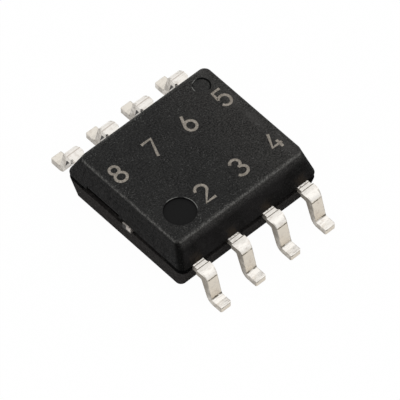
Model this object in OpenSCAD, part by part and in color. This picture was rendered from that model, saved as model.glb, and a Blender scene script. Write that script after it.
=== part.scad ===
// Eight-lead small-outline integrated circuit package, millimetres.
// Leads run along Y, pins 1 to 4 along +X on the -Y side, +Z up, feet on z = 0, origin under the middle.

/* [Moulded body] */
// Length of the upper half at its lower edge
body_length = 4.97; // [4.8:0.01:5.2]
// Width of the upper half at its lower edge
body_width = 4.68; // [4.4:0.01:4.9]
// Height of the top face over the board
body_top = 1.85; // [1.7:0.01:2.2]
// Gap between the underside and the board
standoff = 0.15; // [0.1:0.01:0.25]
// Inset of the top face from the upper half's lower edge, at the ends and at the lead sides
top_inset = [0.19, 0.365]; // [0.1:0.005:0.5]
// Step from the upper half's lower edge in to the lower half's upper edge
half_step = 0.0125; // [0:0.0025:0.03]
// Inset of the underside from the lower half's upper edge, at the ends and at the lead sides
base_inset = [0.0925, 0.1825]; // [0.05:0.0025:0.3]
// Radius of the upright edges of the upper half
upper_corner = 0.25; // [0.1:0.01:0.3]
// Radius of the upright edges of the lower half
lower_corner = 0.22; // [0.1:0.01:0.3]
// Radius of the edges round the top face and the underside
edge_round = 0.05; // [0.03:0.01:0.08]
// Step from the lower half's upper edge in to the corners of the band between the halves
band_step = 0.01; // [0.005:0.005:0.02]
// Further inset of that band where the frame's rails and dam bars were
band_inset = 0.095; // [0.04:0.005:0.12]
// Length of corner that this inset leaves, at the ends and at the lead sides
band_land = [0.62, 0.32]; // [0.2:0.01:0.8]

/* [Marks on the body] */
// Radius of the pin one mark
pin_mark_radius = 0.465; // [0.3:0.005:0.5]
// Depth of the pin one mark
pin_mark_depth = 0.045; // [0.02:0.005:0.1]
// Distance of the pin one mark's middle from the end and the side of the top face
pin_mark_inset = [0.775, 0.755]; // [0.6:0.005:1.2]
// Radius of the ejector pin mark on top
ejector_radius = 0.245; // [0.15:0.005:0.3]
// Depth of the ejector pin marks
ejector_depth = 0.02; // [0.01:0.005:0.05]
// Distance of that ejector pin mark's middle from the end and the side of the top face
ejector_inset = [0.535, 0.44]; // [0.4:0.005:1]
// Radius of the two ejector pin marks under the body
base_ejector_radius = 0.3; // [0.2:0.01:0.4]
// Distance of their middles from the ends and the sides of the underside
base_ejector_inset = [0.81, 0.83]; // [0.5:0.01:1.2]

// Length, height and depth of the scar on the -X end, over the band, where the gate was broken off
gate_size = [1.3, 0.12, 0.06]; // [0.02:0.01:1.6]
// Distance of the scar's middle from the middle line
gate_place = 0.85; // [0.7:0.01:1]
// Width of the nick that the trimming punch left beside the -X tie bar
nick_width = 0.1; // [0.05:0.01:0.15]
// Height of that nick over the band
nick_height = 0.05; // [0.02:0.01:0.1]

/* [Leads] */
// Distance between neighbouring leads
pitch = 1.27; // [1.2:0.01:1.3]
// Thickness of the lead frame
frame_thickness = 0.19; // [0.15:0.01:0.25]
// Width of a lead
lead_width = 0.37; // [0.31:0.01:0.45]
// Width of a lead over the cut stubs of the dam bar
dambar_width = 0.47; // [0.46:0.01:0.6]
// Length of plain strip between the body and those stubs
strip_length = 0.16; // [0.1:0.01:0.2]
// Length of the stubs along the lead
stub_length = 0.18; // [0.1:0.01:0.2]
// Length over which the stubs run out into the lead
stub_taper = 0.22; // [0.1:0.01:0.3]
// Slope at the inner end of the stubs
stub_slope = 0.03; // [0.01:0.01:0.05]
// Height of the upper side of the frame over the board
frame_top = 1.05; // [0.9:0.01:1.15]
// Distance from toe to toe across the package
span = 6.9; // [6.7:0.01:7.4]
// Distance from the toe back to the upper bend's corner
foot_reach = 0.59; // [0.5:0.01:0.7]
// Lean of the leg from upright, degrees
leg_lean = 14; // [5:1:18]
// Outside radius of the upper bend
shoulder_radius = 0.26; // [0.2:0.01:0.3]
// Inside radius of the upper bend
shoulder_inner_radius = 0.08; // [0.05:0.01:0.12]
// Outside radius of the heel
heel_radius = 0.24; // [0.2:0.01:0.3]
// Inside radius of the heel
heel_inner_radius = 0.06; // [0.04:0.01:0.1]
// Radius of the toe's upper edge
toe_round = 0.03; // [0.02:0.005:0.05]
// Radius of the toe's upright edges
toe_corner = 0.05; // [0.02:0.005:0.1]

/* [Frame inside the body] */
// Die pad length and width
pad_size = [2.6, 1.9]; // [1.6:0.01:2.8]
// How far the die pad sits under the frame
pad_downset = 0.2; // [0.15:0.01:0.3]
// Width of the tie bars
tie_width = 0.32; // [0.2:0.01:0.4]
// Distance of the tie bars from the middle line
tie_place = -0.16; // [-0.3:0.01:0.3]
// How far a tie bar's cut end stands out of the inset band
tie_stub = 0.16; // [0.05:0.01:0.2]
// Length of level tie bar beside the pad
tie_level = 0.2; // [0.1:0.01:0.3]
// Length of the ramp from there up to the frame
tie_ramp = 0.22; // [0.2:0.01:0.4]
// Gap between the pad's long sides and the tips of the inner fingers
pad_gap = 0.23; // [0.15:0.01:0.4]
// Gap between a tie bar and the tips of the corner fingers
tie_gap = 0.3; // [0.2:0.01:0.5]
// Width of a finger's blade
finger_width = 0.66; // [0.5:0.01:0.8]
// Width of the corner fingers' noses
nose_width = 0.35; // [0.25:0.01:0.45]
// Length of the corner fingers' noses
nose_length = 0.6; // [0.4:0.01:0.7]
// Bevels where a finger changes width
finger_bevel = 0.13; // [0.05:0.01:0.15]
// Depth of moulding over a finger's root, where it narrows to the lead's width
root_cover = 0.32; // [0.25:0.01:0.45]
// Radius of the hole through which the moulding locks a finger
lock_radius = 0.1; // [0.05:0.01:0.14]
// Distance of that hole from the finger's root
lock_inset = 0.3; // [0.25:0.01:0.35]

/* [Die and wires] */
// Die length, width and thickness
die_size = [1.7, 1.4, 0.28]; // [0.2:0.01:1.8]
// Thickness of the adhesive under the die
attach_thickness = 0.02; // [0.01:0.005:0.03]
// How far the adhesive comes out round the die
attach_fillet = 0.03; // [0.01:0.005:0.05]
// Distance of the bonds from the die's edge
bond_inset = 0.11; // [0.05:0.01:0.2]
// Distance of the inner leads' bonds from the die's middle
inner_bond = 0.42; // [0.3:0.01:0.5]
// Distance of the corner leads' bonds from the die's middle
corner_bond = 0.46; // [0.2:0.01:0.55]
// Distance of a wire's landing from the tip of its finger
land_inset = 0.15; // [0.1:0.01:0.2]
// Radius of the bond wire
wire_radius = 0.015; // [0.01:0.001:0.02]
// Radius of the ball on the die
ball_radius = 0.035; // [0.03:0.001:0.045]
// Height of that ball
ball_height = 0.022; // [0.015:0.001:0.03]
// Height of the straight neck over the die
neck_height = 0.12; // [0.08:0.01:0.2]
// Radius of the loop over the neck
loop_radius = 0.07; // [0.05:0.005:0.1]
// Length, width and height of the wedge on the finger
wedge_size = [0.085, 0.052, 0.014]; // [0.01:0.001:0.1]

/* [Hidden] */
$fn = 96;
leads_per_side = 4;
// How far the pieces of one solid run into each other, and cutters past what they cut.
overlap = 0.02;
lower_length = body_length - 2 * half_step;
lower_width = body_width - 2 * half_step;
band_length = lower_length - 2 * band_step;
band_width = lower_width - 2 * band_step;
band_depth = half_step + band_step + band_inset;
top_length = body_length - 2 * top_inset[0];
top_width = body_width - 2 * top_inset[1];
base_length = lower_length - 2 * base_inset[0];
base_width = lower_width - 2 * base_inset[1];
frame_bottom = frame_top - frame_thickness;
bend_place = span / 2 - foot_reach;
finger_root = body_width / 2 - root_cover;
inner_tip = pad_size[1] / 2 + pad_gap;
corner_tip = abs(tie_place) + tie_width / 2 + tie_gap;
pad_top = frame_top - pad_downset;
die_floor = pad_top + attach_thickness;
die_top = die_floor + die_size[2];
// Where each wire leaves the die and lands on its finger, for the corner and the inner leads.
corner_ball = [die_size[0] / 2 - bond_inset, corner_bond];
corner_land = [1.5 * pitch, corner_tip + land_inset];
inner_ball = [inner_bond, die_size[1] / 2 - bond_inset];
inner_land = [0.5 * pitch, inner_tip + land_inset];

function unit(v) = v / norm(v);
// The x of a lead's middle line, for its place 0 to 3 along +X.
function lead_line(place) = (place - (leads_per_side - 1) / 2) * pitch;
function at_corner(place) = place == 0 || place == leads_per_side - 1;

// Area between a corner and its rounding: v is the corner, a and b point along its two edges.
// It reaches past the corner, and meets the round on a 5 degree secant.
module corner_area(v, a, b, r) {
    half = acos(a * b) / 2;
    reach = r * cos(5);
    c = v + unit(a + b) * reach / sin(half);
    // The two edges' ends in the order that makes the outline run anticlockwise.
    ends = a[0] * b[1] > a[1] * b[0] ? [b, a] : [a, b];
    difference() {
        polygon([for (p = [c, v + ends[0] * reach / tan(half), v, v + ends[1] * reach / tan(half)])
                 c + (p - c) * 1.3]);
        translate(c) circle(r = r);
    }
}

// Flat-topped side view of half a body, from z1 (half width h1) to z2 (half width h2), z2 edges rounded.
module draft_profile(h1, h2, z1, z2) {
    difference() {
        polygon([[-h1, z1], [h1, z1], [h2, z2], [-h2, z2]]);
        for (m = [-1, 1])
            corner_area([m * h2, z2], [-m, 0], unit([m * (h1 - h2), z1 - z2]), edge_round);
    }
}

// What is cut from one leaning upright edge that goes from p to q between an end face and a side face.
module upright_cut(p, q, m, n, r) {
    up = unit(q - p);
    // Directions of the two faces seen along the edge, pointing into each face.
    along_end = unit(cross(up, cross([0, -n, 0], up)));
    along_side = unit(cross(up, cross([-m, 0, 0], up)));
    third = unit(cross(up, along_end));
    start = p - up * r;
    multmatrix([[along_end[0], third[0], up[0], start[0]],
                [along_end[1], third[1], up[1], start[1]],
                [along_end[2], third[2], up[2], start[2]],
                [0, 0, 0, 1]])
        linear_extrude(height = norm(q - p) + 2 * r)
            corner_area([0, 0], [1, 0], [along_side * along_end, along_side * third], r);
}

// One mould half, from size1 at z1 drafted to size2 at z2, with rounded upright edges.
module mould_half(size1, size2, z1, z2, r) {
    difference() {
        intersection() {
            rotate([90, 0, 0]) linear_extrude(height = 2 * size1[1], center = true)
                draft_profile(size1[0] / 2, size2[0] / 2, z1, z2);
            rotate([90, 0, 90]) linear_extrude(height = 2 * size1[0], center = true)
                draft_profile(size1[1] / 2, size2[1] / 2, z1, z2);
        }
        for (m = [-1, 1], n = [-1, 1])
            upright_cut([m * size1[0] / 2, n * size1[1] / 2, z1],
                        [m * size2[0] / 2, n * size2[1] / 2, z2], m, n, r);
    }
}

// What joins the halves round the frame: flush at the corners, inset where rails and dam bars were cut away.
module frame_band() {
    translate([0, 0, frame_bottom - overlap]) linear_extrude(height = frame_thickness + 2 * overlap)
        difference() {
            square([band_length, band_width], center = true);
            for (m = [-1, 1], n = [-1, 1])
                corner_area([m * band_length / 2, n * band_width / 2], [-m, 0], [0, -n], lower_corner);
            for (m = [-1, 1]) {
                translate([m * band_length / 2, 0])
                    square([2 * band_inset, band_width - 2 * band_land[0]], center = true);
                translate([0, m * band_width / 2])
                    square([band_length - 2 * band_land[1], 2 * band_inset], center = true);
            }
        }
}

// What the broken gate and the trimming punch took from the upper half at its -X end.
module end_scars() {
    tie_edge = tie_place + tie_width / 2;
    translate([-body_length / 2, gate_place, frame_top]) rotate([90, 0, 0])
        linear_extrude(height = gate_size[0], center = true)
            polygon([[-overlap, -overlap], [gate_size[2], -overlap], [gate_size[2], 0],
                     [gate_size[2] / 2, gate_size[1]], [-overlap, gate_size[1]]]);
    translate([-body_length / 2 - overlap, tie_edge, frame_bottom])
        cube([band_depth + overlap, nick_width, frame_thickness + nick_height]);
}

module outer_body() {
    difference() {
        union() {
            mould_half([body_length, body_width], [top_length, top_width], frame_top, body_top, upper_corner);
            mould_half([lower_length, lower_width], [base_length, base_width],
                       frame_bottom, standoff, lower_corner);
            frame_band();
        }
        translate([pin_mark_inset[0] - top_length / 2, pin_mark_inset[1] - top_width / 2,
                   body_top - pin_mark_depth])
            cylinder(r = pin_mark_radius, h = pin_mark_depth + overlap);
        translate([top_length / 2 - ejector_inset[0], top_width / 2 - ejector_inset[1],
                   body_top - ejector_depth])
            cylinder(r = ejector_radius, h = ejector_depth + overlap);
        end_scars();
        for (m = [-1, 1])
            translate([m * (base_length / 2 - base_ejector_inset[0]),
                       m * (base_width / 2 - base_ejector_inset[1]), standoff - overlap])
                cylinder(r = base_ejector_radius, h = ejector_depth + overlap);
    }
}

// Side view of a lead: distance from the middle, height.
module lead_profile(inner_end) {
    lean = tan(leg_lean);
    back = frame_thickness / cos(leg_lean);
    knee = [bend_place, frame_top];
    instep = [bend_place + frame_bottom * lean, frame_thickness];
    armpit = [bend_place + frame_thickness * lean - back, frame_bottom];
    heel = [bend_place + frame_top * lean - back, 0];
    down = unit(instep - knee);
    difference() {
        union() {
            polygon([[inner_end, frame_bottom], armpit, heel, [span / 2, 0],
                     [span / 2, frame_thickness], instep, knee, [inner_end, frame_top]]);
            corner_area(armpit, [-1, 0], down, shoulder_inner_radius);
            corner_area(instep, [1, 0], -down, heel_inner_radius);
        }
        corner_area(knee, [-1, 0], down, shoulder_radius);
        corner_area(heel, [1, 0], -down, heel_radius);
        corner_area([span / 2, frame_thickness], [-1, 0], [0, -1], toe_round);
    }
}

// Both sides of a plan about the lead's middle line, from the points of its +X side, inner end first.
module both_sides(points) {
    last = len(points) - 1;
    polygon(concat(points, [for (i = [0:last]) [-points[last - i][0], points[last - i][1]]]));
}

// Plan of a lead from inside its finger's root to past the toe.
module outer_plan() {
    w = lead_width / 2;
    stub = body_width / 2 + strip_length;
    difference() {
        both_sides([[w, finger_root - finger_bevel], [w, stub], [dambar_width / 2, stub + stub_slope],
                    [dambar_width / 2, stub + stub_length], [w, stub + stub_length + stub_taper],
                    [w, span / 2 + overlap]]);
        for (m = [-1, 1])
            corner_area([m * w, span / 2], [-m, 0], [0, -1], toe_corner);
    }
}

// Plan of the blade of a finger, holed so that the moulding locks it.
module blade(tip) {
    w = finger_width / 2;
    difference() {
        both_sides([[w - finger_bevel, tip], [w, tip + finger_bevel], [w, finger_root - finger_bevel],
                    [w - finger_bevel, finger_root]]);
        translate([0, finger_root - lock_inset]) circle(r = lock_radius);
    }
}

// Plan of a corner finger's nose, which passes the end of the pad.
module nose() {
    both_sides([[nose_width / 2, corner_tip], [nose_width / 2, corner_tip + nose_length + overlap]]);
}

// A formed lead on the -Y side; place counts 0 to 3 along +X.
module formed_lead(place) {
    translate([lead_line(place), 0, 0]) intersection() {
        rotate([90, 0, -90]) linear_extrude(height = 2 * finger_width, center = true)
            lead_profile(min(inner_tip, corner_tip) - overlap);
        translate([0, 0, -overlap]) linear_extrude(height = frame_top + 2 * overlap) mirror([0, 1]) union() {
            outer_plan();
            blade(at_corner(place) ? corner_tip + nose_length : inner_tip);
            if (at_corner(place)) nose();
        }
    }
}

// A straight gold wire from a ball on the die to a wedge on a finger, both given as x, y.
module bond_wire(from, to) {
    far = norm(to - from);
    // The wire's end lies just over the finger, in the wedge.
    end_z = frame_top + 1.2 * wire_radius;
    loop_z = die_top + neck_height;
    drop = loop_z - end_z;
    reach = norm([far - loop_radius, drop]);
    fall = atan(drop / (far - loop_radius)) + asin(loop_radius / reach);
    turn = 90 + fall;
    run = sqrt(reach * reach - loop_radius * loop_radius);
    translate([from[0], from[1], 0]) rotate([0, 0, atan2(to[1] - from[1], to[0] - from[0])]) {
        translate([0, 0, die_top]) cylinder(r = ball_radius, h = ball_height);
        translate([0, 0, die_top]) cylinder(r = wire_radius, h = neck_height);
        // The loop is a hair thinner than the wire and starts and ends half a degree inside it.
        translate([loop_radius, 0, loop_z]) rotate([90, 0, 0]) rotate([0, 0, 180 - turn - 0.5])
            rotate_extrude(angle = turn + 1) translate([loop_radius, 0]) circle(r = 0.97 * wire_radius);
        translate([loop_radius + loop_radius * sin(fall), 0, loop_z + loop_radius * cos(fall)])
            rotate([0, turn, 0]) cylinder(r = wire_radius, h = run);
        translate([far - wedge_size[0] / 2, -wedge_size[1] / 2, frame_top]) cube(wedge_size);
    }
}

module mold_body() {
    color([0.09, 0.09, 0.09]) difference() {
        outer_body();
        for (m = [0, 180], i = [0:leads_per_side - 1]) rotate([0, 0, m]) formed_lead(i);
        pad_and_bars();
        adhesive();
        die();
        for (i = [1:2 * leads_per_side]) wire(i);
    }
}

// Pad and tie bars, stamped and set down in one piece.
module pad_and_bars() {
    level = pad_size[0] / 2 + tie_level;
    ramp = level + tie_ramp;
    low = pad_top - frame_thickness;
    bar_end = body_length / 2 - band_depth + tie_stub;
    // The bends' undersides sit outward of their upper sides, so the ramp keeps the frame's thickness.
    shift = frame_thickness * tan(atan(pad_downset / tie_ramp) / 2);
    intersection() {
        rotate([90, 0, 0]) linear_extrude(height = 2 * pad_size[1], center = true)
            polygon([[-bar_end, frame_bottom], [-ramp - shift, frame_bottom], [-level - shift, low],
                     [level + shift, low], [ramp + shift, frame_bottom], [bar_end, frame_bottom],
                     [bar_end, frame_top], [ramp, frame_top], [level, pad_top],
                     [-level, pad_top], [-ramp, frame_top], [-bar_end, frame_top]]);
        linear_extrude(height = body_top) union() {
            square(pad_size, center = true);
            translate([0, tie_place]) square([2 * body_length, tie_width], center = true);
        }
    }
}

module adhesive() {
    translate([0, 0, pad_top]) linear_extrude(height = attach_thickness)
        square([die_size[0] + 2 * attach_fillet, die_size[1] + 2 * attach_fillet], center = true);
}

module die() {
    translate([0, 0, die_floor]) linear_extrude(height = die_size[2])
        square([die_size[0], die_size[1]], center = true);
}

// Wires are counted as the leads are: 1 to 4 along -Y towards +X, 5 to 8 back along +Y.
module wire(i) {
    place = (i - 1) % leads_per_side;
    side = sign(lead_line(place));
    from = at_corner(place) ? corner_ball : inner_ball;
    to = at_corner(place) ? corner_land : inner_land;
    rotate([0, 0, i > leads_per_side ? 180 : 0])
        bond_wire([side * from[0], -from[1]], [side * to[0], -to[1]]);
}

module numbered_lead(i) {
    color([0.78, 0.76, 0.72]) rotate([0, 0, i > leads_per_side ? 180 : 0])
        formed_lead((i - 1) % leads_per_side);
}

module lead_1() { numbered_lead(1); }
module lead_2() { numbered_lead(2); }
module lead_3() { numbered_lead(3); }
module lead_4() { numbered_lead(4); }
module lead_5() { numbered_lead(5); }
module lead_6() { numbered_lead(6); }
module lead_7() { numbered_lead(7); }
module lead_8() { numbered_lead(8); }
module die_pad() { color([0.72, 0.45, 0.3]) pad_and_bars(); }
module die_attach() { color([0.6, 0.6, 0.62]) adhesive(); }
module silicon_die() { color([0.25, 0.27, 0.32]) die(); }
module bond_wire_1() { color([0.85, 0.65, 0.25]) wire(1); }
module bond_wire_2() { color([0.85, 0.65, 0.25]) wire(2); }
module bond_wire_3() { color([0.85, 0.65, 0.25]) wire(3); }
module bond_wire_4() { color([0.85, 0.65, 0.25]) wire(4); }
module bond_wire_5() { color([0.85, 0.65, 0.25]) wire(5); }
module bond_wire_6() { color([0.85, 0.65, 0.25]) wire(6); }
module bond_wire_7() { color([0.85, 0.65, 0.25]) wire(7); }
module bond_wire_8() { color([0.85, 0.65, 0.25]) wire(8); }

mold_body();
lead_1();
lead_2();
lead_3();
lead_4();
lead_5();
lead_6();
lead_7();
lead_8();
die_pad();
die_attach();
silicon_die();
bond_wire_1();
bond_wire_2();
bond_wire_3();
bond_wire_4();
bond_wire_5();
bond_wire_6();
bond_wire_7();
bond_wire_8();
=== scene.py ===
import math

import bpy
from mathutils import Matrix, Vector


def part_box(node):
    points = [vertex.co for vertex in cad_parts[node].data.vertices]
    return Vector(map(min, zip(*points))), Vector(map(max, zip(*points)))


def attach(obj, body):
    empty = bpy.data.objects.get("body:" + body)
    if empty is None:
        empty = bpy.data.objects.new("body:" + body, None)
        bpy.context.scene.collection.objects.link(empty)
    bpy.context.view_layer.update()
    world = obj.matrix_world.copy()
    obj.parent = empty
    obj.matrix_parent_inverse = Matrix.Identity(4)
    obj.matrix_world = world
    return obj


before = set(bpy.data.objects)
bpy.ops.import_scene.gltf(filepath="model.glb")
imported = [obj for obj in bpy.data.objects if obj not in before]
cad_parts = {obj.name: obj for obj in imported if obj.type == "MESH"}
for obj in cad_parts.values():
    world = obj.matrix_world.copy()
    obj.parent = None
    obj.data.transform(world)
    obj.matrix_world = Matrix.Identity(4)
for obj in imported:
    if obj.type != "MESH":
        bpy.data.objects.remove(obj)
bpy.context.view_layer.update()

# The package's moulding: black epoxy filled with ground silica, cast round the lead frame in two
# mould halves. The cavity was eroded to a fine matte grain, the dot for pin one was polished, and
# a painted highlight runs along the edges of the top face. The moulding carries everything else.

MM = 0.001


class Wiring:
    """Adds nodes to a shader tree. A socket takes a value or another node's output, and a socket's
    name may have underscores for its spaces."""

    def __init__(self, tree):
        self.nodes = tree.nodes
        self.links = tree.links

    def fill(self, node, sockets):
        for name, value in sockets.items():
            socket = node.inputs[name.replace("_", " ") if isinstance(name, str) else name]
            if isinstance(value, bpy.types.NodeSocket):
                self.links.new(value, socket)
            elif socket.type == "RGBA":
                socket.default_value = (*value, 1)
            else:
                socket.default_value = value

    def add(self, kind, settings=None, **sockets):
        node = self.nodes.new(kind)
        for name, value in (settings or {}).items():
            setattr(node, name, value)
        self.fill(node, sockets)
        return node

    def math(self, operation, *values):
        node = self.add("ShaderNodeMath", {"operation": operation})
        self.fill(node, dict(enumerate(values)))
        return node.outputs[0]

    def times(self, product, *factors):
        for factor in factors:
            product = self.math("MULTIPLY", product, factor)
        return product

    def most(self, highest, *others):
        for other in others:
            highest = self.math("MAXIMUM", highest, other)
        return highest

    def less(self, a, b):
        return self.math("SUBTRACT", a, b)

    def unsigned(self, a):
        return self.math("ABSOLUTE", a)

    def apart(self, a, b):
        return self.unsigned(self.less(a, b))

    def weigh(self, value, weight, other):
        """The value times its weight, plus the other."""
        return self.math("MULTIPLY_ADD", value, weight, other)

    def ramp(self, value, start, end, low=0.0, high=1.0, shape="SMOOTHSTEP"):
        """A step: low before start, high after end."""
        node = self.add("ShaderNodeMapRange", {"interpolation_type": shape}, Value=value)
        self.fill(node, {"From Min": start, "From Max": end, "To Min": low, "To Max": high})
        return node.outputs["Result"]

    def axes(self, vector):
        """A vector's three parts, by the names X, Y and Z."""
        return self.add("ShaderNodeSeparateXYZ", Vector=vector).outputs


class Finish(Wiring):
    """A procedural material, patterned by the place on its piece in millimetres."""

    def __init__(self, name, **sockets):
        self.material = bpy.data.materials.new(name)
        self.material.use_nodes = True
        super().__init__(self.material.node_tree)
        self.shader = self.nodes["Principled BSDF"]
        self.fill(self.shader, sockets)
        place = self.add("ShaderNodeTexCoord").outputs["Object"]
        self.mm = self.add("ShaderNodeMapping", Vector=place, Scale=(1 / MM,) * 3).outputs["Vector"]

    def facing(self):
        """The three parts of the direction that the surface faces."""
        return self.axes(self.add("ShaderNodeNewGeometry").outputs["Normal"])

    def noise(self, per_mm, detail=2.0, roughness=0.5, vector=None):
        return self.add("ShaderNodeTexNoise", Vector=vector or self.mm, Scale=per_mm,
                        Detail=detail, Roughness=roughness).outputs["Fac"]

    def mix(self, factor, a, b):
        node = self.add("ShaderNodeMix", {"data_type": "RGBA"}, Factor=factor)
        self.fill(node, {6: a, 7: b})
        return node.outputs[2]

    def coat(self, base, *coats):
        """Lays coats over a base colour in turn, each a mask and a colour."""
        for mask, colour in coats:
            base = self.mix(mask, base, colour)
        return base

    def bump(self, height, depth, under=None):
        """Normals for a height of 0 to 1 that stands for this depth in millimetres."""
        node = self.add("ShaderNodeBump", Height=height, Distance=depth * MM)
        if under:
            self.fill(node, {"Normal": under})
        return node.outputs["Normal"]

    def wear(self, node_name):
        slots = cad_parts[node_name].data.materials
        slots.clear()
        slots.append(self.material)


body_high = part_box("mold_body")[1]
top_inset = Vector((0.19, 0.365))  # of the top face from the body's sides
top_half = body_high.xy / MM - top_inset
top_z = body_high.z / MM
slot_low, slot_high = 0.86, 1.05  # the lower and upper sides of the slot between the halves
pin_mark, pin_radius, pin_depth = Vector((0.775, 0.755)) - top_half, 0.465, 0.045
ejector_mark, ejector_radius, ejector_depth = top_half - Vector((0.535, 0.44)), 0.245, 0.02
end_highlight_narrowing = 1.6  # how many times narrower the painted edge highlight is at the ends
lead_pitch = 1.27


def across_lead(finish, x):
    """How far along x a place is from the middle of its lead, in pitches."""
    return finish.less(finish.math("FRACT", finish.math("DIVIDE", x, lead_pitch)), 0.5)


moulding = Finish("black_moulding", Specular_IOR_Level=0.05)
x, y, z = moulding.axes(moulding.mm)
skin_facing = moulding.facing()
end_distance = moulding.less(top_half.x, moulding.unsigned(x))
side_distance = moulding.less(top_half.y, moulding.unsigned(y))
edge_distance = moulding.unsigned(
    moulding.math("MINIMUM", moulding.times(end_distance, end_highlight_narrowing), side_distance))
on_top = moulding.ramp(z, top_z - 0.06, top_z - 0.01)
lower_half = moulding.ramp(z, slot_high - 0.02, slot_high - 0.04)
# painted shade in the slot between the mould halves, under the upper half's overhang
slot_shade = moulding.times(lower_half, moulding.ramp(z, slot_low - 0.005, slot_low + 0.01))
long_side = moulding.ramp(moulding.unsigned(skin_facing["Y"]), 0.6, 0.85)
upright_edge = moulding.ramp(
    moulding.unsigned(moulding.times(skin_facing["X"], skin_facing["Y"])), 0.15, 0.4)

# The cast skin: fine grain and bright specks of silica on the top, which is painted lighter than the
# sides as if lit from above; the sides are blotchy, with painted shade that darkens the long sides
# and makes the upright edges nearly black.
blotches = moulding.ramp(moulding.noise(1.1), 0.35, 0.6)
grain = moulding.ramp(moulding.noise(20, 3.0, 0.7), 0.3, 0.7)
mottle = moulding.ramp(moulding.noise(11, 4.0, 0.75), 0.35, 0.65)
patches = moulding.ramp(moulding.noise(2.4, 3.0, 0.65), 0.38, 0.62)
specks = moulding.ramp(moulding.noise(30, 1.0), 0.6, 0.76)
# silica specks, made stronger near the edges of the top face as part of the painted edge highlight
speck_and_edge_glint_strength = moulding.times(moulding.ramp(edge_distance, 0.5, 0.1, 0.4, 0.8),
                                moulding.ramp(moulding.noise(1.7), 0.4, 0.6, 0.45, 1.1))
# painted shade: the sides darker than the top, the long sides darker still, the upright edges nearly
# black
shaded_side_skin = moulding.coat(
    moulding.mix(mottle, (0.006, 0.006, 0.006), (0.02, 0.0195, 0.019)),
    (moulding.times(long_side, 0.75),
     moulding.mix(blotches, (0.0015, 0.0012, 0.001), (0.01, 0.009, 0.009))),
    (moulding.times(upright_edge, 0.95), (0.0008, 0.0007, 0.0005)))
# painted sheen: a pale band across the top face near its +X end
end_sheen = moulding.times(moulding.ramp(x, top_half.x - 0.45, top_half.x - 0.28),
                          moulding.ramp(x, top_half.x - 0.02, top_half.x - 0.16),
                          moulding.weigh(blotches, 0.4, 0.1))
grain_hollow = moulding.mix(patches, (0.006, 0.006, 0.006), (0.013, 0.013, 0.0125))
grain_peak = moulding.mix(moulding.ramp(x, -0.3, 2.0), (0.036, 0.036, 0.035), (0.056, 0.054, 0.051))
lit_top_skin = moulding.coat(
    moulding.mix(grain, grain_hollow, grain_peak),
    # painted sheen near the +X end of the top face
    (end_sheen, (0.07, 0.068, 0.065)))

# Painted highlights and dirt: the long sides carry a painted highlight below the top edge, flux leaves
# a brown film over each lead, and the top face's edge carries a painted highlight, patchy along it.
# painted highlight on the long sides, just below the top edge
side_highlight = moulding.times(moulding.ramp(z, top_z - 0.32, top_z - 0.06), long_side,
                         moulding.ramp(moulding.noise(24, 3.0, 0.7), 0.4, 0.65, 0.1, 0.6))
smear = moulding.less(moulding.times(moulding.noise(9, 3.0), 0.5),
                      moulding.unsigned(across_lead(moulding, x)))
film = moulding.times(moulding.ramp(z, slot_high + 0.35, slot_high + 0.1), long_side,
                      moulding.ramp(smear, 0.05, 0.25))
wander = moulding.weigh(moulding.noise(12, 4.0, 0.8), 0.2, -0.1)
# painted highlight along the edge of the top face, broken up by noise
edge_highlight = moulding.times(
    moulding.most(moulding.ramp(moulding.math("ADD", edge_distance, wander), 0.1, 0.0, 0.0, 0.6),
                  moulding.ramp(edge_distance, 0.04, 0.015)),
    moulding.ramp(z, top_z - 0.1, top_z - 0.03),
    moulding.ramp(moulding.noise(22, 3.0, 0.7), 0.42, 0.6, 0.15, 0.9))


def distance_from(centre):
    """The distance in plan from a point of the top face."""
    plan = moulding.add("ShaderNodeCombineXYZ", X=x, Y=y).outputs["Vector"]
    gap = moulding.add("ShaderNodeVectorMath", {"operation": "DISTANCE"})
    moulding.fill(gap, {0: plan, 1: (*centre, 0)})
    return gap.outputs["Value"]


def inside(centre, radius):
    return moulding.ramp(distance_from(centre), radius + 0.004, radius - 0.004)


def recess(centre, radius, depth, glint_side, floor, floor_tone):
    """The coats of a round recess in the top face: a painted glint on the rim, the floor, and painted
    shade on the wall.
    """
    gap = distance_from(centre)
    rim_glint = moulding.times(moulding.ramp(moulding.apart(gap, radius + 0.012), 0.016, 0.006),
                         moulding.ramp(glint_side, 0.8 * radius, 0.95 * radius),
                         moulding.ramp(moulding.noise(5), 0.35, 0.55))
    wall_shade = moulding.times(moulding.ramp(z, top_z - 0.2 * depth, top_z - 0.6 * depth),
                          moulding.ramp(moulding.apart(gap, radius + 0.004), 0.014, 0.008))
    return ((moulding.times(rim_glint, 0.9), (0.2, 0.2, 0.19)),
            (floor, floor_tone),
            (wall_shade, (0.001, 0.001, 0.001)))


# The two round recesses: pin one's polished dot and the mark of the pin that pushed the package
# out of the mould. Their rims carry painted glints towards each other and towards the far row, and
# painted shade darkens an arc beside the ejector mark.
polished = inside(pin_mark, pin_radius)
pin_recess = recess(
    pin_mark, pin_radius, pin_depth,
    moulding.most(moulding.less(x, pin_mark.x), moulding.less(y, pin_mark.y)),
    polished, (0.009, 0.009, 0.009))
ejector_recess = recess(
    ejector_mark, ejector_radius, ejector_depth,
    moulding.most(moulding.less(ejector_mark.x, x), moulding.less(y, ejector_mark.y)),
    moulding.times(inside(ejector_mark, ejector_radius), 0.4), (0.035, 0.035, 0.034))
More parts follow.
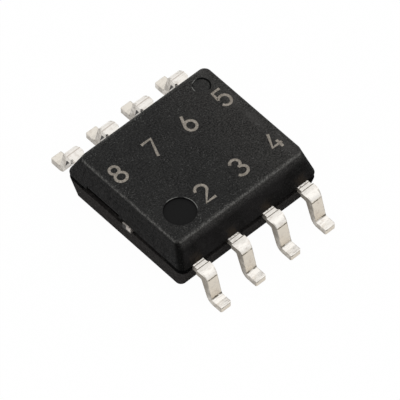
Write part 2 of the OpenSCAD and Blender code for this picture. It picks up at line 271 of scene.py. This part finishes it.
# painted shade: a dark arc round the ejector mark's +X side
ejector_arc_shade = moulding.times(
    moulding.ramp(moulding.apart(distance_from(ejector_mark), ejector_radius + 0.005), 0.03, 0.015),
    moulding.ramp(moulding.less(x, ejector_mark.x), 0.0, 0.12), on_top)
moulding.fill(moulding.shader, {
    "Base Color": moulding.coat(
        # painted light: the top face lighter than the sides
        moulding.mix(on_top, shaded_side_skin, lit_top_skin),
        # silica specks, stronger near the edges as painted highlight
        (moulding.times(specks, moulding.weigh(on_top, speck_and_edge_glint_strength, 0.1)), (0.13, 0.13, 0.125)),
        # painted highlight on the long sides below the top edge
        (side_highlight, (0.085, 0.083, 0.079)),
        (moulding.times(film, 0.6), (0.034, 0.026, 0.018)),
        # painted light: the lower half's downward faces painted lighter, standing in for light that does
        # not reach them
        (lower_half, moulding.mix(mottle, (0.018, 0.0165, 0.016), (0.04, 0.037, 0.035))),
        # painted shade in the slot between the halves
        (slot_shade, (0.0005, 0.0005, 0.0005)),
        # painted highlight along the top face's edge
        (edge_highlight, (0.14, 0.137, 0.13)),
        *pin_recess,
        *ejector_recess,
        # painted shade beside the ejector mark
        (ejector_arc_shade, (0.002, 0.002, 0.002))),
    "Roughness": moulding.most(moulding.weigh(grain, 0.3, 0.4), lower_half),
    "Normal": moulding.bump(moulding.times(grain, moulding.less(1.0, polished)), 0.015)})
moulding.wear("mold_body")

# The leads: stamped copper alloy, plated with matt tin after moulding, trimmed from the frame and
# formed. The tin is warm white, clouded and streaked by the bath, with painted shade along each bend;
# the sheared sides are duller and carry painted shade. Flash from the moulding clings to the strip by
# the body.

# Where each mark runs across a lead: its distance out from the package's middle, and its height.
lead_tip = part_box("lead_5")[1] / MM
strip_end = 2.68  # where the strip bends down into the leg
clamp_line = (2.4, lead_tip.z)
dam_cut = (2.53, lead_tip.z)
drawn_line = (strip_end, lead_tip.z - 0.01)
under_shoulder = (2.7, 0.68)
upper_bend = (2.9, 0.865)
lower_bend = (3.07, 0.225)
toe_edge = (lead_tip.y + 0.01, 0.165)
burr_start, burr_end = 0.158 / lead_pitch, 0.18 / lead_pitch  # from the lead's middle, in pitches
strip_slope, foot_slope = (strip_end, 2.33), (3.24, 3.08)  # how far out each starts and ends
slope_rise = 0.053
foot_share = 0.75  # of the rise

tin = Finish("matt_tin", Metallic=1.0)
lead_x, lead_y, height = tin.axes(tin.mm)
tin_facing = tin.facing()
out = tin.unsigned(lead_y)
outward = tin.times(tin_facing["Y"], tin.math("SIGN", lead_y))
upward = tin.ramp(tin_facing["Z"], 0.3, 0.6)
near_row = tin.ramp(lead_y, 0.1, -0.1)
far_row = tin.less(1.0, near_row)
across = across_lead(tin, lead_x)


def gap_to(line):
    """How far a place on a lead is from a line across it."""
    return tin.most(tin.apart(out, line[0]), tin.apart(height, line[1]))


def crease(line, width):
    """A ragged dark line across the lead: painted shade along the bends, a tool's mark elsewhere."""
    ragged_gap = tin.weigh(tin.noise(22), width, gap_to(line))
    return tin.ramp(ragged_gap, 1.5 * width, 0.8 * width)


# How the plating differs, with painted shade: clouds, streaks and pits from the bath, smudges,
# painted shade on the leg's outer face, sheared sides that are duller and carry painted shade, painted
# shade on the near stub, darker upward faces on the far feet, and painted shade under the shoulder.
cloud = tin.noise(3.0, 4.0, 0.6)
streak_place = tin.add("ShaderNodeMapping", Vector=tin.mm, Scale=(5, 18, 12)).outputs["Vector"]
streaks = tin.noise(1.0, 3.0, 0.6, streak_place)
pits = tin.ramp(tin.noise(24, 2.0, 0.7), 0.66, 0.76)
smudges = tin.ramp(tin.noise(5.5, 4.0, 0.7), 0.55, 0.66, 0.0, 0.3)
# painted shade: the leg's outer face, turned away from the sky, painted darker beige
leg_face_shade = tin.times(tin.ramp(tin_facing["Z"], 0.6, 0.3), tin.ramp(outward, 0.1, 0.5))
# the sheared sides are duller, and painted shade darkens them far more on the near row
sheared_and_shaded_sides = tin.times(tin.ramp(tin.unsigned(tin_facing["X"]), 0.6, 0.8), tin.weigh(near_row, 0.6, 0.25),
                    tin.ramp(height, 0.1, 0.4, 0.7, 1.0))
# painted shade: the near row's stub, which mirrors the body's shade, painted darker
stub_shade = tin.times(near_row, tin.ramp(out, 2.72, 2.58, 0.0, 0.45))
# the far row's feet darker and browner where they face up
darker_far_foot = tin.times(far_row, tin.ramp(out, 2.85, 3.1, 0.0, 0.75), tin.ramp(tin_facing["Z"], 0.2, 0.6))
# painted shade in the corner under the shoulder, on faces turned to the body or downwards
shoulder_shade = tin.times(tin.ramp(gap_to(under_shoulder), 0.23, 0.17),
                 tin.most(tin.ramp(outward, -0.2, -0.5), tin.ramp(tin_facing["Z"], -0.2, -0.5)))

# What the tools left, with painted shade: painted shade along both bends, lines where the mould
# clamped the strip and the dam bar was cut, a line drawn across the far shoulders, a dark toe, burrs,
# painted shade on the near sides by the body, and flash.
# painted shade: dark lines along the upper and lower bends
bend_shade_lines = tin.times(tin.most(crease(upper_bend, 0.028), crease(lower_bend, 0.036)),
                         tin.ramp(tin.noise(9), 0.4, 0.58, 0.3, 1.0))
dam_creases = tin.times(tin.most(crease(dam_cut, 0.018), crease(clamp_line, 0.017)), near_row, upward)
toe_crease = tin.times(crease(toe_edge, 0.026), tin.ramp(across, -0.06, -0.1, 0.35, 1.0))
drawn_crease = tin.times(crease(drawn_line, 0.03), far_row)
burr = tin.times(tin.ramp(tin.unsigned(across), burr_start, burr_end), tin.ramp(out, 2.7, 2.8),
                 tin.ramp(tin.noise(6, 3.0), 0.3, 0.6))
# painted shade on the near row's sides close to the body
body_side_shade = tin.times(sheared_and_shaded_sides, near_row, tin.ramp(out, 3.0, 2.78))
flash = tin.times(tin.ramp(out, clamp_line[0] + 0.03, clamp_line[0] - 0.05),
                  tin.ramp(tin.noise(15, 3.0, 0.6), 0.54, 0.62), upward)

# The clamped strip and the first half of the foot both rise a little towards the body.
slopes = tin.math("ADD", tin.ramp(out, *strip_slope, shape="LINEAR"),
                  tin.ramp(out, *foot_slope, 0.0, foot_share, "LINEAR"))
tin.fill(tin.shader, {
    "Base Color": tin.coat(
        tin.mix(cloud, (0.91, 0.865, 0.805), (1.0, 0.975, 0.93)),
        # painted shade on the leg's outer face
        (leg_face_shade, (0.76, 0.7, 0.61)),
        # painted shade on the near stub
        (stub_shade, (0.72, 0.69, 0.64)),
        (tin.ramp(streaks, 0.5, 0.7, 0.0, 0.45), (0.62, 0.585, 0.53)),
        # darker upward faces on the far feet
        (darker_far_foot, (0.76, 0.71, 0.63)),
        (tin.times(pits, 0.5), (0.35, 0.32, 0.28)),
        # duller sheared sides with painted shade
        (sheared_and_shaded_sides, (0.56, 0.52, 0.46)),
        (smudges, (0.5, 0.42, 0.36)),
        (tin.times(burr, 0.6), (0.3, 0.27, 0.23)),
        (tin.times(drawn_crease, 0.5), (0.35, 0.28, 0.23)),
        # painted shade on the sides by the body
        (tin.times(body_side_shade, 0.8), (0.26, 0.23, 0.19)),
        # painted shade along the bends, with the dam-bar, clamp and toe lines
        (tin.most(bend_shade_lines, dam_creases, toe_crease), (0.14, 0.12, 0.09)),
        # painted shade under the shoulder
        (shoulder_shade, (0.045, 0.038, 0.032)),
        (tin.times(flash, 0.8), (0.09, 0.075, 0.06))),
    "Roughness": tin.weigh(cloud, 0.25, 0.3),
    "Normal": tin.bump(slopes, slope_rise, tin.bump(tin.weigh(streaks, 0.5, cloud), 0.01))})
for number in range(1, 9):
    tin.wear(f"lead_{number}")

# Inside the moulding: the copper alloy die pad with its two tie bars, silver-filled epoxy, the
# silicon die and a gold wire to each lead. Only the tie bars' cut ends show, on the body's ends,
# each darker along its lower edge and down one side, with a ragged border.

copper = Finish("frame_copper", Metallic=1.0, Roughness=0.45)
bar_place = copper.axes(copper.mm)
ragged = copper.noise(14)
# the cut ends darker along their lower edge and down one side
dark_fringe = copper.most(copper.ramp(copper.weigh(ragged, 0.06, bar_place["Z"]), 0.97, 0.91),
                   copper.ramp(copper.weigh(ragged, 0.1, bar_place["Y"]), -0.12, -0.07))
cut_end = copper.ramp(copper.unsigned(copper.facing()["X"]), 0.5, 0.8)
copper.fill(copper.shader, {
    "Base Color": copper.coat(
        copper.mix(copper.noise(12, 3.0), (0.35, 0.31, 0.28), (0.75, 0.7, 0.65)),
        (copper.times(cut_end, dark_fringe), (0.03, 0.027, 0.024))),
    "Normal": copper.bump(copper.noise(20), 0.01)})
copper.wear("die_pad")


def hidden_finish(name, per_mm, dark, light, **sockets):
    """A finish between two close colours, for a piece inside the moulding."""
    finish = Finish(name, **sockets)
    finish.fill(finish.shader, {"Base Color": finish.mix(finish.noise(per_mm), dark, light)})
    return finish


epoxy = hidden_finish("silver_epoxy", 40, (0.4, 0.4, 0.42), (0.6, 0.6, 0.62), Roughness=0.6)
epoxy.wear("die_attach")
silicon = hidden_finish("polished_silicon", 8, (0.12, 0.13, 0.18), (0.2, 0.21, 0.26), Roughness=0.15)
silicon.wear("silicon_die")
gold = hidden_finish("gold_wire", 30, (0.8, 0.58, 0.22), (0.95, 0.75, 0.35), Metallic=1.0, Roughness=0.25)
for number in range(1, 9):
    gold.wear(f"bond_wire_{number}")

# The numbers by the leads: laser marks, scanned into the skin of the moulding in single strokes.
# The laser turns the epoxy a pale warm grey and leaves fine rows of spots. Pin one has its dot
# instead of a number.

digit_height = 0.58
digit_width = 0.34
stroke_width = 0.085
stroke_height = 0.004
stroke_lift = 0.0005  # of a digit's second stroke over its first
near_numbers_y, far_numbers_y = -1.2, 0.84


def arc(cx, cy, rx, ry, start, end, count=14):
    """Points on an ellipse's arc, from start to end degrees."""
    angles = [math.radians(start + (end - start) * step / (count - 1)) for step in range(count)]
    return [(cx + rx * math.cos(angle), cy + ry * math.sin(angle)) for angle in angles]


# Each digit's strokes, in a box one high and one wide.
digit_strokes = {
    2: [arc(0.5, 0.72, 0.5, 0.28, 170, -30) + [(0.0, 0.0), (1.0, 0.0)]],
    3: [arc(0.47, 0.76, 0.43, 0.24, 160, -90), arc(0.47, 0.26, 0.53, 0.26, 90, -160)],
    4: [[(1.0, 0.25), (0.0, 0.25), (0.62, 1.0)], [(0.75, 0.48), (0.75, 0.0)]],
    5: [[(0.92, 1.0), (0.12, 1.0), (0.05, 0.55)] + arc(0.47, 0.32, 0.5, 0.32, 140, -155)],
    6: [arc(0.5, 0.3, 0.48, 0.3, 0, 360, 24), [(0.03, 0.36), (0.5, 1.0)]],
    7: [[(0.0, 1.0), (1.0, 1.0), (0.3, 0.0)]],
    8: [arc(0.5, 0.77, 0.4, 0.23, -90, 270, 24), arc(0.5, 0.27, 0.5, 0.27, 90, 450, 24)],
}

laser = Finish("laser_mark", Roughness=0.75, Specular_IOR_Level=0.2)
rows = laser.add("ShaderNodeTexWave", {"bands_direction": "Y"}, Vector=laser.mm, Scale=9.0,
                 Distortion=1.2, Detail=2.0).outputs["Fac"]
spots = laser.noise(24, 3.0, 0.7)
laser.fill(laser.shader, {
    "Base Color": laser.coat(
        laser.mix(laser.ramp(spots, 0.3, 0.7), (0.17, 0.15, 0.125), (0.42, 0.38, 0.33)),
        (laser.times(rows, 0.35), (0.12, 0.105, 0.09))),
    "Normal": laser.bump(spots, 0.008)})


def stroke_tree():
    """Sweeps a flat ribbon of the given width and height along every stroke of a digit."""
    tree = bpy.data.node_groups.new("laser_stroke", "GeometryNodeTree")
    tree.interface.new_socket("Strokes", in_out="INPUT", socket_type="NodeSocketGeometry")
    for name in ("Width", "Height"):
        tree.interface.new_socket(name, in_out="INPUT", socket_type="NodeSocketFloat")
    tree.interface.new_socket("Ribbon", in_out="OUTPUT", socket_type="NodeSocketGeometry")
    strokes, result = tree.nodes.new("NodeGroupInput"), tree.nodes.new("NodeGroupOutput")
    profile = tree.nodes.new("GeometryNodeCurvePrimitiveQuadrilateral")
    sweep = tree.nodes.new("GeometryNodeCurveToMesh")
    sweep.inputs["Fill Caps"].default_value = True
    solid = tree.nodes.new("GeometryNodeRealizeInstances")
    finish = tree.nodes.new("GeometryNodeSetMaterial")
    finish.inputs["Material"].default_value = laser.material
    for start, end in ((strokes.outputs["Strokes"], sweep.inputs["Curve"]),
                       (strokes.outputs["Width"], profile.inputs["Width"]),
                       (strokes.outputs["Height"], profile.inputs["Height"]),
                       (profile.outputs["Curve"], sweep.inputs["Profile Curve"]),
                       (sweep.outputs["Mesh"], solid.inputs["Geometry"]),
                       (solid.outputs["Geometry"], finish.inputs["Geometry"]),
                       (finish.outputs["Geometry"], result.inputs["Ribbon"])):
        tree.links.new(start, end)
    return tree


laser_stroke = stroke_tree()


def draw(number, x, y):
    """A digit's strokes as a curve, centred on x and y and lying at the height 0."""
    curve = bpy.data.curves.new(f"pin_number_{number}", "CURVE")
    curve.dimensions = "3D"
    curve.twist_mode = "Z_UP"
    for layer, points in enumerate(digit_strokes[number]):
        spline = curve.splines.new("POLY")
        spline.use_cyclic_u = math.dist(points[0], points[-1]) < 0.01
        points = points[:-1] if spline.use_cyclic_u else points
        spline.points.add(len(points) - 1)
        for point, (u, v) in zip(spline.points, points):
            point.co = ((x + (u - 0.5) * digit_width) * MM, (y + (v - 0.5) * digit_height) * MM,
                        layer * stroke_lift * MM, 1)
    drawn = bpy.data.objects.new(curve.name, curve)
    bpy.context.scene.collection.objects.link(drawn)
    return drawn


def mark(number, x, y):
    """Marks a digit on the top face, centred on x and y, as ribbons of mesh."""
    drawn = draw(number, x, y)
    modifier = drawn.modifiers.new("laser", "NODES")
    modifier.node_group = laser_stroke
    sockets = {s.name: s.identifier for s in laser_stroke.interface.items_tree if s.in_out == "INPUT"}
    modifier[sockets["Width"]] = stroke_width * MM
    modifier[sockets["Height"]] = stroke_height * MM
    mesh = bpy.data.meshes.new_from_object(drawn.evaluated_get(bpy.context.evaluated_depsgraph_get()))
    mesh.transform(Matrix.Translation((0, 0, body_high.z)))
    bpy.data.objects.remove(drawn)
    digit = bpy.data.objects.new(f"pin_number_{number}", mesh)
    bpy.context.scene.collection.objects.link(digit)
    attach(digit, "root")


for number in (2, 3, 4):
    mark(number, (number - 2.5) * lead_pitch, near_numbers_y)
for number in (5, 6, 7, 8):
    mark(number, (6.5 - number) * lead_pitch, far_numbers_y)

# The table: a seamless white sheet. It shows plain white to the camera, and gives a part of that
# white to the metal that mirrors it.

table_half = 0.5
seen_white, mirrored_white = 0.98, 0.4
corners = ((-1, -1), (1, -1), (1, 1), (-1, 1))
paper = bpy.data.meshes.new("table")
paper.from_pydata([(table_half * u, table_half * v, 0) for u, v in corners], [], [(0, 1, 2, 3)])
table = bpy.data.objects.new("table", paper)
bpy.context.scene.collection.objects.link(table)
sheet = Finish("white_sheet", Base_Color=(0.9, 0.9, 0.9), Roughness=0.9)
ray = sheet.add("ShaderNodeLightPath").outputs
glow = sheet.add("ShaderNodeEmission", Color=(1, 1, 1), Strength=1.0)
blend = sheet.add("ShaderNodeMixShader")
sheet.fill(blend, {
    0: sheet.weigh(ray["Is Glossy Ray"], mirrored_white, sheet.times(ray["Is Camera Ray"], seen_white)),
    1: sheet.shader.outputs[0],
    2: glow.outputs[0]})
sheet.fill(sheet.nodes["Material Output"], {"Surface": blend.outputs[0]})
paper.materials.append(sheet.material)

# The sky: an even white dome that lights the package from all round, a little dimmer towards the
# horizon, and plain white to the camera.

horizon_white = 0.7
full_white_rise = 0.7  # how far up a direction points, from 0 at the horizon to 1 overhead
world = bpy.data.worlds.new("studio")
world.use_nodes = True
bpy.context.scene.world = world
sky = Wiring(world.node_tree)
direction = sky.axes(sky.add("ShaderNodeTexCoord").outputs["Generated"])
dome = sky.ramp(direction["Z"], 0.0, full_white_rise, horizon_white, 1.0, "LINEAR")
seen = sky.add("ShaderNodeLightPath").outputs["Is Camera Ray"]
sky.fill(sky.nodes["Background"], {"Color": (1, 1, 1), "Strength": sky.most(seen, dome)})

# The panel: a faint soft light over the package, which brightens the shoulders and the feet of
# the leads.

panel_place = Vector((0.16, -0.13, 0.35))
panel_size = 0.45
panel_brightness = 0.12
lamp = bpy.data.lights.new("overhead_panel", "AREA")
lamp.size = panel_size
lamp.energy = panel_brightness * math.pi * panel_size ** 2
panel = bpy.data.objects.new("overhead_panel", lamp)
panel.location = panel_place
panel.rotation_euler = (-panel_place).to_track_quat("-Z", "Y").to_euler()
bpy.context.scene.collection.objects.link(panel)

# The camera: far off with a long lens, it looks down over pin one's corner and leans a little to
# one side.

turn, rise, roll = (math.radians(angle) for angle in (-41.143, 53.326, -1.413))
distance = 180.52 * MM
aim_right, aim_up = 0.203 * MM, -0.142 * MM
back = Vector((math.sin(turn) * math.cos(rise), -math.cos(turn) * math.cos(rise), math.sin(rise)))
right = Matrix.Rotation(roll, 3, back) @ Vector((math.cos(turn), math.sin(turn), 0))
up = back.cross(right)
stand = aim_right * right + aim_up * up + distance * back
lens = bpy.data.cameras.new("camera")
lens.sensor_width = 36
lens.lens = 598.2
lens.clip_start = 0.01
camera = bpy.data.objects.new("camera", lens)
camera.matrix_world = Matrix.Translation(stand) @ Matrix((right, up, back)).transposed().to_4x4()
bpy.context.scene.collection.objects.link(camera)
bpy.context.scene.camera = camera
bpy.context.scene.view_settings.view_transform = "Standard"
